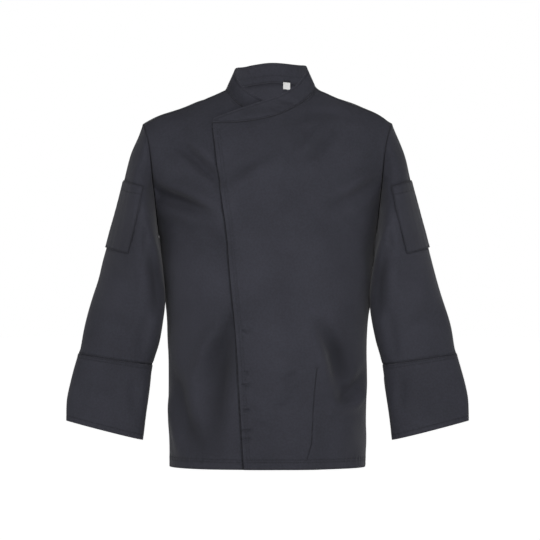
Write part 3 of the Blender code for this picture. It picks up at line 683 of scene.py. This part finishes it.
@dataclass(frozen=True)
class Wrap:
    """Lays a flat pattern round a piece: round a line from top to bottom, and along it."""

    top: Point = (0.0, 0.0, 0.0)
    bottom: Point = (0.0, 0.0, -0.75)
    top_radius: float = 0.19
    bottom_radius: float = 0.19
    seam: Point = (0.0, 1.0, 0.0)

    def lay(self, mesh: Mesh) -> None:
        """Write the piece's own UV map, in metres of cloth."""
        points = points_of(mesh)
        start, end = np.array(self.top), np.array(self.bottom)
        length = np.linalg.norm(end - start)
        axis = (end - start) / length
        back = unit(np.array(self.seam) - np.dot(self.seam, axis) * axis)
        side = np.cross(axis, back)
        down = (points - start) @ axis
        angle = np.arctan2((points - start) @ side, -((points - start) @ back))
        radius = np.interp(down, (0.0, length), (self.top_radius, self.bottom_radius))
        corners = column(mesh.loops, "vertex_index")
        starts, totals = column(mesh.polygons, "loop_start"), column(mesh.polygons, "loop_total")
        first = np.repeat(angle[corners[starts]], totals)
        turned = first + (angle[corners] - first + math.pi) % math.tau - math.pi
        flat = np.stack([turned * radius[corners], -down[corners]], axis=-1)
        layer = mesh.uv_layers.new(name="cloth")
        layer.data.foreach_set("uv", flat.ravel())


# ---- the wall's skins

def skins_at(edge: BMEdge) -> set[int]:
    """The skins of the faces that meet at an edge."""
    return {face.material_index for face in edge.link_faces}


def on_border(edge: BMEdge) -> bool:
    """Whether the outer skin ends at the edge."""
    skins = skins_at(edge)
    return Skin.OUTER in skins and len(skins) > 1


def on_rim(faces: Iterable[BMFace]) -> bool:
    """Whether any of the faces is on a rim."""
    return any(face.material_index == Skin.RIM for face in faces)


def mark_skins(shape: BMesh) -> None:
    """Give each face its skin: the narrow faces of the rims part the wall's two sides."""
    left = {face for face in shape.faces
            if min(edge.calc_length() for edge in face.edges) > RIM_WIDTH}
    islands = []
    for face in shape.faces:
        face.material_index = Skin.RIM
    while left:
        island, stack = [], [left.pop()]
        while stack:
            face = stack.pop()
            island.append(face)
            for other in {other for edge in face.edges for other in edge.link_faces} & left:
                left.discard(other)
                stack.append(other)
        islands.append(island)
    islands.sort(key=lambda island: (-round(sum(face.calc_area() for face in island), 5),
                                     sum(face.calc_center_median().y for face in island)))
    for skin, island in zip((Skin.OUTER, Skin.INNER), islands):
        for face in island:
            face.material_index = skin


def ease_folds(shape: BMesh) -> None:
    """Smooth the few folds where the solid's grid is pinched."""
    for _ in range(EASE_STEPS):
        shape.normal_update()
        folded = {vert for edge in shape.edges if edge.calc_face_angle(0.0) > FOLDED
                  and not on_rim(edge.link_faces) for vert in edge.verts}
        near = {other for vert in folded for edge in vert.link_edges for other in edge.verts}
        bmesh.ops.smooth_vert(shape, verts=[vert for vert in near if not on_rim(vert.link_faces)],
                              factor=0.5, use_axis_x=True, use_axis_y=True, use_axis_z=True)


# ---- pieces of cloth

@dataclass(frozen=True)
class Cut:
    """The flat cut of a piece, in metres, and its area in square metres."""

    width: float
    length: float
    area: float


@dataclass
class ClothPiece:
    """One sewn piece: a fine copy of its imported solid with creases, seams and a weave."""

    node: str
    cut: Cut
    creases: tuple[Crease, ...] = ()
    discs: tuple[Disc, ...] = ()
    bumps: tuple[Bump, ...] = ()
    seams: tuple[Seam, ...] = ()
    free: tuple[Zone, ...] = ()
    wrap: Wrap = field(default_factory=Wrap)
    cloth: Cloth = TWILL
    thread: Cloth = THREAD
    levels: int = 2
    swell_height: float = 1.3
    seam_fade: float = 9.0
    roll: float = 0.7
    # Strength of the painted shade along sewn borders
    painted_seam_shade: float = 0.8
    rows: list[Row] = field(default_factory=list)

    def build(self) -> None:
        """Make the piece and its stitching, and parent both to the root empty."""
        mesh = self.smooth_copy()
        shape = bmesh.new()
        shape.from_mesh(mesh)
        self.find_rows(shape)
        self.refine(shape)
        shape.to_mesh(mesh)
        self.move_points(shape, mesh)
        shape.free()
        self.wrap.lay(mesh)
        mesh.shade_smooth()
        # This takes the skins off the faces too, so that all of them show one cloth
        mesh.materials.clear()
        mesh.materials.append(self.cloth.material())
        piece = added(f"cloth_{self.node}", mesh)
        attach(piece, "root")
        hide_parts(self.node)
        sewn = self.sew()
        log.info("%s: %d faces, %d rows", piece.name, len(mesh.polygons), len(self.rows))

    def smooth_copy(self) -> Mesh:
        """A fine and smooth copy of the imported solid, merged at its points."""
        shape = bmesh.new()
        shape.from_mesh(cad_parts[self.node].data)
        bmesh.ops.remove_doubles(shape, verts=shape.verts, dist=SAME_POINT)
        shape.normal_update()
        mark_skins(shape)
        ease_folds(shape)
        bmesh.ops.join_triangles(shape, faces=shape.faces, cmp_materials=True,
                                 angle_face_threshold=SHARP, angle_shape_threshold=SKEWED)
        crease = shape.edges.layers.float.new("crease_edge")
        for edge in shape.edges:
            skins = skins_at(edge)
            if len(skins) > 1 or skins == {Skin.RIM} and edge.calc_face_angle(0.0) > SHARP:
                edge[crease] = 1.0
        mesh = bpy.data.meshes.new(f"cloth_{self.node}")
        shape.to_mesh(mesh)
        shape.free()
        rough = added("rough", mesh)
        finer = rough.modifiers.new("finer", "SUBSURF")
        finer.levels = finer.render_levels = self.levels
        wanted = points_of(mesh)
        # The modifier draws points in, so they start as far out as it draws them
        for _ in range(SHRINK_STEPS):
            shrunk = points_of(evaluated(rough).to_mesh())[:len(wanted)]
            mesh.vertices.foreach_set("co", (points_of(mesh) + wanted - shrunk).ravel())
            mesh.update()
        made = bpy.data.meshes.new_from_object(evaluated(rough))
        made.name = f"cloth_{self.node}_fine"
        bpy.data.objects.remove(rough)
        bpy.data.meshes.remove(mesh)
        return made

    def find_rows(self, shape: BMesh) -> None:
        """Work out where each row of stitches lies on its skin."""
        shape.verts.index_update()
        points = [vert.co for vert in shape.verts]
        corners: dict[int, list[list[int]]] = {skin: [] for skin in Skin}
        for face in shape.faces:
            corners[face.material_index].append([vert.index for vert in face.verts])
        skins = {skin: BVHTree.FromPolygons(points, corners[skin])
                 for skin in {seam.skin for seam in self.seams}}
        for seam in self.seams:
            skin = skins[seam.skin]
            if seam.path:
                self.rows.append(Row(self.seen_path(seam, skin), seam))
                continue
            for line, inward in self.border_lines(shape, seam.zone):
                kept = np.ones(len(line), bool)
                if seam.way is not None:
                    kept = inward @ np.array(seam.way) > SAME_WAY
                if kept.sum() < 2:
                    continue
                for offset in seam.offsets:
                    found = [skin.find_nearest(Vector(point + offset * MM * way))[0]
                             for point, way in zip(line[kept], inward[kept])]
                    self.rows.append(Row(resampled(np.array(found), ROW_PITCH), seam))

    @staticmethod
    def seen_path(seam: Seam, skin: BVHTree) -> Array:
        """A row given as (x, z) points, laid on the skin from the front."""
        flat = np.array([(x * MM, 0.0, z * MM) for x, z in seam.path])
        found = []
        for point in resampled(flat, ROW_PITCH):
            start = Vector((point[0], Facing.FRONT.value, point[2]))
            hit = skin.ray_cast(start, Vector((0.0, Facing.BACK.value, 0.0)))[0]
            if hit is not None:
                found.append(hit)
        return np.array(found)

    @staticmethod
    def border_lines(shape: BMesh, zone: Zone) -> list[tuple[Array, Array]]:
        """Stretches of the outer skin's border in a zone, and the way in from each point."""
        links: dict[BMVert, list[BMVert]] = {}
        for edge in shape.edges:
            if on_border(edge) and all(zone.holds(vert.co) for vert in edge.verts):
                first, second = edge.verts
                links.setdefault(first, []).append(second)
                links.setdefault(second, []).append(first)
        lines = []
        while links:
            ends = [vert for vert, others in links.items() if len(others) == 1]
            vert = min(ends or links, key=lambda v: (round(v.co.x, 4), round(v.co.z, 4)))
            chain, previous = [vert], None
            while True:
                onward = [other for other in links[chain[-1]]
                          if other is not previous and other not in chain[-2:]]
                if not onward or onward[0] is chain[0] or len(chain) > len(links):
                    break
                previous = chain[-1]
                chain.append(onward[0])
            if chain[0] in links[chain[-1]] and len(chain) > 2:
                chain.append(chain[0])
            for vert in set(chain):
                links.pop(vert)
            links = {vert: [o for o in others if o in links] for vert, others in links.items()}
            links = {vert: others for vert, others in links.items() if others}
            if len(chain) < 3:
                continue
            line = np.array([vert.co for vert in chain])
            tangent = unit(np.gradient(line, axis=0))
            inner = [np.mean([face.calc_center_median() for face in vert.link_faces
                              if face.material_index == Skin.OUTER], axis=0) for vert in chain]
            inward = np.array(inner) - line
            inward = unit(inward - tangent * np.sum(inward * tangent, axis=1, keepdims=True))
            lines.append((line, inward))
        return lines

    def refine(self, shape: BMesh) -> None:
        """Cut the outer skin finer near rows and sewn borders, so that they can sink in."""
        lines = [row.points[::2] for row in self.rows]
        sewn = self.border_points(shape, self.free, sewn=True)
        if len(sewn):
            lines.append(sewn)
        if not lines:
            return
        tree = tree_of(np.concatenate(lines))
        for reach in FINE_REACHES:
            near = {edge for face in shape.faces if face.material_index != Skin.INNER
                    and tree.find(face.calc_center_median())[2] < reach * MM for edge in face.edges}
            near = [edge for edge in near if edge.calc_length() > FINE_EDGE * MM]
            bmesh.ops.subdivide_edges(shape, edges=near, cuts=1, use_grid_fill=True)

    def move_points(self, shape: BMesh, mesh: Mesh) -> None:
        """Move the outer skin by its creases and seams, and the rest of the wall with it."""
        shape.verts.index_update()
        points = points_of(mesh)
        normals = np.zeros_like(points)
        outer = set()
        for face in shape.faces:
            if face.material_index == Skin.OUTER:
                way = np.array(face.normal) * face.calc_area()
                for vert in face.verts:
                    normals[vert.index] += way
                    outer.add(vert.index)
        outer = np.array(sorted(outer))
        at, facing = points[outer], unit(normals[outer])
        moves = facing * self.height(shape, at, facing)[:, None]
        place = nearest(tree_of(at), points)[0]
        mesh.vertices.foreach_set("co", (points + moves[place]).ravel())
        free = self.border_points(shape, self.free)
        self.write_mask(mesh, "wear", [(free, WEAR_WIDTH, 1.0)], points)
        # Painted shade, kept as the seam mask: shadow along sewn borders and stitch rows, and in
        # the creases' troughs
        folds = sum((crease.laid(points, facing[place])[1] for crease in self.creases),
                    np.zeros(len(points)))
        sewn = self.border_points(shape, self.free, sewn=True)
        rows = [(row.points, ROW_WIDTH, row.seam.shade) for row in self.rows]
        self.write_mask(mesh, "seam", [(sewn, SEAM_WIDTH, self.painted_seam_shade)] + rows, points, folds)
        mesh.update()

    @staticmethod
    def write_mask(mesh: Mesh, name: str, lines: list[tuple[Array, float, float]],
                   points: Array, least: float | Array = 0.0) -> None:
        """Write a mask that is strongest on its lines.

        Args:
            mesh: The mesh that gets the mask as an attribute.
            name: Name of the attribute.
            lines: Points of each line, its half width in millimetres and its strength.
            points: The mesh's points before they were moved.
            least: The mask's least value at each point.
        """
        mask = np.zeros(len(points)) + least
        for line, width, strength in lines:
            if len(line):
                away = nearest(tree_of(line), points)[1]
                mask = np.maximum(mask, strength * bell(away, width * MM))
        layer = mesh.attributes.new(name, "FLOAT", "POINT")
        layer.data.foreach_set("value", mask)

    @staticmethod
    def border_points(shape: BMesh, zones: tuple[Zone, ...], sewn: bool = False) -> Array:
        """Points of the outer skin's border that are in the zones or, if sewn, in none."""
        found = {tuple(vert.co) for edge in shape.edges if on_border(edge) for vert in edge.verts
                 if any(zone.holds(vert.co) for zone in zones) != sewn}
        return np.array(sorted(found))

    def height(self, shape: BMesh, at: Array, facing: Array) -> Array:
        """How far each point of the outer skin moves out."""
        leaning = at[:, 0] + SWELL_LEAN * at[:, 1]
        total = self.swell_height * MM * swell(leaning, at[:, 2], SWELL_LENGTH)
        for crease in self.creases:
            total += crease.laid(at, facing)[0]
        for disc in self.discs:
            held = ease(disc.reach(at[:, 0], at[:, 2]) - 1.0)
            total = np.where(total < 0.0, total * held, total) + disc.height_at(at[:, 0], at[:, 2])
        sewn = self.border_points(shape, self.free, sewn=True)
        if len(sewn):
            total *= ease(nearest(tree_of(sewn), at)[1] / (self.seam_fade * MM))
        rolled = self.border_points(shape, self.free + STILL, sewn=True)
        if len(rolled):
            total -= self.roll * MM * bell(nearest(tree_of(rolled), at)[1], ROLL_WIDTH * MM)
        for bump in self.bumps:
            total += bump.height_at(at)
        for row in self.rows:
            place, away = nearest(tree_of(row.points), at)
            wave = ripple(place * ROW_PITCH)
            total -= row.seam.groove * MM * bell(away, GROOVE_WIDTH * MM)
            total += row.seam.pucker * MM * wave * bell(away, PUCKER_WIDTH * MM)
        return total

    def sew(self) -> Object | None:
        """The piece's stitching as one mesh of small thread loops lying in their rows."""
        rows = [row for row in self.rows if row.seam.threads]
        if not rows:
            return None
        stitch = Stitch()
        cloth = bpy.data.meshes[f"cloth_{self.node}_fine"]
        wall = BVHTree.FromPolygons([Vector(point) for point in points_of(cloth)],
                                    [tuple(face.vertices) for face in cloth.polygons])
        threads = bmesh.new()
        for row in rows:
            line = resampled(row.points, stitch.pitch * MM)
            for start, end in zip(line, line[1:]):
                hit, out, _, _ = wall.find_nearest(Vector((start + end) / 2))
                along = Vector(end - start).normalized()
                across = out.cross(along).normalized()
                turn = Matrix((along, across, along.cross(across))).transposed().to_4x4()
                size = Matrix.Diagonal((stitch.length * MM / 2, stitch.radius * MM,
                                        stitch.radius * MM, 1.0))
                place = Matrix.Translation(hit + out * (stitch.lift * MM))
                bmesh.ops.create_icosphere(threads, subdivisions=1, radius=1.0,
                                           matrix=place @ turn @ size)
        mesh = bpy.data.meshes.new(f"stitching_{self.node}")
        threads.to_mesh(mesh)
        threads.free()
        self.wrap.lay(mesh)
        mesh.shade_smooth()
        mesh.materials.append(self.thread.material())
        sewn = added(mesh.name, mesh)
        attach(sewn, "root")
        return sewn


def sleeve_wrap(side: Side) -> Wrap:
    """How the weave runs round an arm."""
    hand = side.value
    return Wrap(top=(0.235 * hand, 0.0, -0.14), bottom=(0.318 * hand, -0.036, -0.665),
                top_radius=0.095, bottom_radius=0.056, seam=(-hand, 0.3, 0.0))


@dataclass
class Body:
    """The two fronts and the back."""

    front_left_cut: Cut = Cut(0.42, 0.74, 0.235)
    front_right_cut: Cut = Cut(0.42, 0.74, 0.245)
    back_cut: Cut = Cut(0.62, 0.77, 0.385)
    overlap_edge: Line = ((-45, -733), (-51, -630), (-59.5, -486), (-71, -362),
                          (-80, -257), (-93, -170), (-101, -105), (-104, -76))
    underlap_edge: Line = ((94.5, -538), (89, -604), (85, -682), (80, -700), (75, -714))

    def build(self) -> None:
        """Make the three panels."""
        edge = Zone(x=(-0.125, -0.03), z=(-0.725, -0.07), y=(-1.0, -0.05))
        rows = tuple(self.beside_edge(offset, pucker=0.2, shade=0.25) for offset in (6.8, 11.7))
        # Painted shadow on the right front just outside the overlap's edge: no groove and no thread
        overlap_shadow = tuple(self.beside_edge(offset, groove=0.0, pucker=0.0, shade=0.9, threads=False)
                        for offset in (-0.4, -1.6, -2.8))
        # The underlap's edge: a real groove with painted shade along it
        showing = (Seam(path=self.underlap_edge, groove=1.2, pucker=0.1, shade=0.9, threads=False),
                   Seam(path=((91, -536), (98, -536)), groove=0.3, pucker=0.0))
        shoulder = Seam(Zone(x=(-0.245, 0.245), y=(-0.06, 0.06), z=(-0.09, 0.02)),
                        (5.0,), DOWN, pucker=0.2)
        ClothPiece("front_left", self.front_left_cut, creases=BODY_CREASES, discs=STUD_MARKS,
                   seams=rows + showing + HEM + (shoulder,), free=(HEM_ZONE, edge)).build()
        hidden = Zone(x=(0.05, 0.12), z=(-0.74, -0.05))
        ClothPiece("front_right", self.front_right_cut, creases=BODY_CREASES + UNDER_CREASES,
                   seams=overlap_shadow + HEM + (shoulder,), free=(HEM_ZONE, hidden)).build()
        ClothPiece("back", self.back_cut, creases=BODY_CREASES, seams=HEM,
                   free=(HEM_ZONE,)).build()

    def beside_edge(self, offset: float, **how: float) -> Seam:
        """A seam that follows the overlap's free edge, in from it by the offset."""
        return Seam(path=tuple((x + offset, z) for x, z in self.overlap_edge), **how)


@dataclass
class Sleeve:
    """One sleeve with its cuff and its patch pocket."""

    side: Side
    sleeve_cut: Cut = Cut(0.53, 0.47, 0.155)
    cuff_cut: Cut = Cut(0.36, 0.15, 0.052)
    pocket_cut: Cut = Cut(0.13, 0.14, 0.0175)

    def build(self) -> None:
        """Make the three pieces."""
        name, wrap, hand = self.side.name.lower(), sleeve_wrap(self.side), self.side.value
        underarm = Bump((0.2105 * hand, -0.036, -0.301), 0.018, 0.0034)
        joined = Zone(z=(-0.56, -0.505))
        # Sleeves, cuffs and pockets take lighter painted shade along their sewn borders
        ClothPiece(f"sleeve_{name}", self.sleeve_cut, creases=SLEEVE_CREASES, bumps=(underarm,),
                   wrap=wrap, roll=0.5, painted_seam_shade=0.38,
                   seams=(Seam(joined, (3.0,), UP, pucker=0.3),)).build()
        hem = Zone(z=(-0.70, -0.635))
        vent = Zone(x=tuple(sorted((0.226 * hand, 0.252 * hand))), z=(-0.69, -0.53))
        ClothPiece(f"cuff_{name}", self.cuff_cut, creases=SLEEVE_CREASES, wrap=wrap,
                   free=(hem, vent), swell_height=0.6, roll=0.5, painted_seam_shade=0.3,
                   seams=(Seam(hem, (10.0,), UP, pucker=0.35),
                          Seam(vent, (9.0,), (float(hand), 0.0, 0.0), pucker=0.2),
                          Seam(joined, (2.5, 7.0), DOWN, pucker=0.25))).build()
        mouth = Zone(z=(-0.21, -0.15))
        ClothPiece(f"sleeve_pocket_{name}", self.pocket_cut, wrap=wrap, swell_height=0.5,
                   seam_fade=4.0, roll=0.9, painted_seam_shade=0.6,
                   seams=(Seam(EVERYWHERE, (2.2,), pucker=0.2),
                          Seam(mouth, (19.0,), DOWN, pucker=0.3))).build()


@dataclass
class Collar:
    """The stand collar and the blank size label inside it."""

    collar_cut: Cut = Cut(0.56, 0.045, 0.0225)
    label_cut: Cut = Cut(0.0150, 0.0150, 0.000225)

    def build(self) -> None:
        """Make the collar and its label."""
        outer = (Seam(EVERYWHERE, (4.0,), DOWN, pucker=0.2),
                 Seam(EVERYWHERE, (2.0,), UP, groove=0.6, pucker=0.2))
        inner = tuple(
            Seam(EVERYWHERE, (offset,), way, skin=Skin.INNER, pucker=0.1, threads=False)
            for offset, way in ((24.0, DOWN), (4.0, DOWN), (2.5, UP)))
        round_neck = Wrap(top=(0.0075, -0.005, 0.06), bottom=(0.0075, -0.005, -0.08),
                          top_radius=0.08, bottom_radius=0.09, seam=(1.0, 0.0, 0.0))
        ClothPiece("collar", self.collar_cut, creases=COLLAR_CREASES, free=(EVERYWHERE,),
                   wrap=round_neck, swell_height=0.3, seams=outer + inner).build()
        edge = Seam(EVERYWHERE, (1.6,), groove=0.15, pucker=0.05, shade=0.0)
        nearly_flat = Wrap(top=(0.04, 1.0, 0.06), bottom=(0.04, 1.0, -0.08),
                           top_radius=0.95, bottom_radius=0.95)
        ClothPiece("size_label", self.label_cut, free=(EVERYWHERE,), swell_height=0.1, levels=3,
                   cloth=TAPE, thread=TAPE_THREAD, seams=(edge,), wrap=nearly_flat).build()


def dress_studs() -> None:
    """Give the five closed studs their metal."""
    metal = StudMetal().material()
    for name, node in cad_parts.items():
        if name.startswith("press_stud"):
            node.data.materials.clear()
            node.data.materials.append(metal)
            log.info("%s: dressed", name)


# ---- the studio

@dataclass
class Studio:
    """Camera, lights and floor."""

    target: Point = (0.0, 0.0, -0.35)
    distance: float = 9.0
    elevation: float = math.radians(1.0)
    lens: float = 307.7
    sensor: float = 36.0
    shift: tuple[float, float] = (2.5 / 540.0, -0.5 / 540.0)
    reach: float = 60.0
    floor_z: float = -1.45
    floor_radius: float = 30.0
    floor_glow: float = 0.9
    surround: float = 0.12
    white: tuple[float, ...] = (1.0, 1.0, 1.0, 1.0)

    def build(self) -> None:
        """Set up the whole studio."""
        self.camera()
        self.world()
        self.light("far", (0.3, -3.8, 2.0), (0.9, 0.9), 68.0)
        self.light("near", (0.0, -0.95, -0.29), (2.4, 0.3), 3.0)
        self.light("left", (-2.1, -1.3, 0.1), (1.2, 1.2), 8.5)
        self.light("right", (2.1, -1.3, 0.1), (1.2, 1.2), 8.5)
        self.light("behind", (0.0, 3.2, 0.0), (1.4, 1.4), 60.0)
        self.light("inside", (0.01, -0.03, -0.10), (0.1, 0.1), 0.15, target=(0.012, 0.06, 0.02))
        self.floor()
        bpy.context.scene.view_settings.view_transform = "Standard"

    def camera(self) -> None:
        """A long lens in front, a degree above the middle."""
        data = bpy.data.cameras.new("camera")
        data.lens, data.sensor_width = self.lens, self.sensor
        data.shift_x, data.shift_y = self.shift
        data.dof.use_dof = False
        data.clip_end = self.reach
        camera = added("camera", data)
        back = Vector((0.0, -math.cos(self.elevation), math.sin(self.elevation)))
        camera.location = Vector(self.target) + back * self.distance
        camera.rotation_euler = (math.pi / 2 - self.elevation, 0.0, 0.0)
        bpy.context.scene.camera = camera

    def world(self) -> None:
        """A white surround that lights the jacket softly from all round."""
        world = bpy.data.worlds.new("studio")
        world.use_nodes = True
        graph = Graph(world.node_tree)
        graph.fill(world.node_tree.nodes["Background"], {
            "Color": self.white, "Strength": self.brighter_seen(graph, 1.0)})
        bpy.context.scene.world = world

    def brighter_seen(self, graph: Graph, seen: float) -> NodeSocket:
        """A strength that is higher where the camera looks straight at the thing."""
        straight = graph.add("LightPath").outputs["Is Camera Ray"]
        return graph.add("MapRange", {"Value": straight, "To Min": self.surround,
                                      "To Max": seen}).outputs["Result"]

    def light(self, name: str, place: Point, size: tuple[float, float], power: float,
              target: Point | None = None) -> None:
        """A soft light that points at the jacket.

        Args:
            name: Name of the light.
            place: Where it stands.
            size: Its width and height.
            power: Its power in watts.
            target: Where it points, if not at the jacket's middle.
        """
        data = bpy.data.lights.new(name, "AREA")
        data.shape, data.energy = "RECTANGLE", power
        data.size, data.size_y = size
        lamp = added(name, data)
        lamp.visible_camera = False
        lamp.location = place
        way = Vector(target or self.target) - Vector(place)
        lamp.rotation_euler = way.to_track_quat("-Z", "Y").to_euler()

    def floor(self) -> None:
        """A broad pale floor, at the height where the wearer's feet would stand."""
        shape = bmesh.new()
        bmesh.ops.create_circle(shape, cap_ends=True, segments=96, radius=self.floor_radius,
                                matrix=Matrix.Translation((0.0, 0.0, self.floor_z)))
        mesh = bpy.data.meshes.new("floor")
        shape.to_mesh(mesh)
        shape.free()
        made, graph, shader = Shading.material("floor")
        graph.fill(shader, {"Base Color": (0.9, 0.9, 0.9, 1.0), "Roughness": 0.9,
                            "Emission Color": self.white,
                            "Emission Strength": self.brighter_seen(graph, self.floor_glow)})
        mesh.materials.append(made)
        added("floor", mesh)


def main() -> None:
    """Build the jacket and its studio."""
    logging.basicConfig(level=logging.INFO, format="%(name)s %(message)s")
    Studio().build()
    Body().build()
    for side in Side:
        Sleeve(side).build()
    Collar().build()
    dress_studs()


if __name__ == "__main__":
    main()
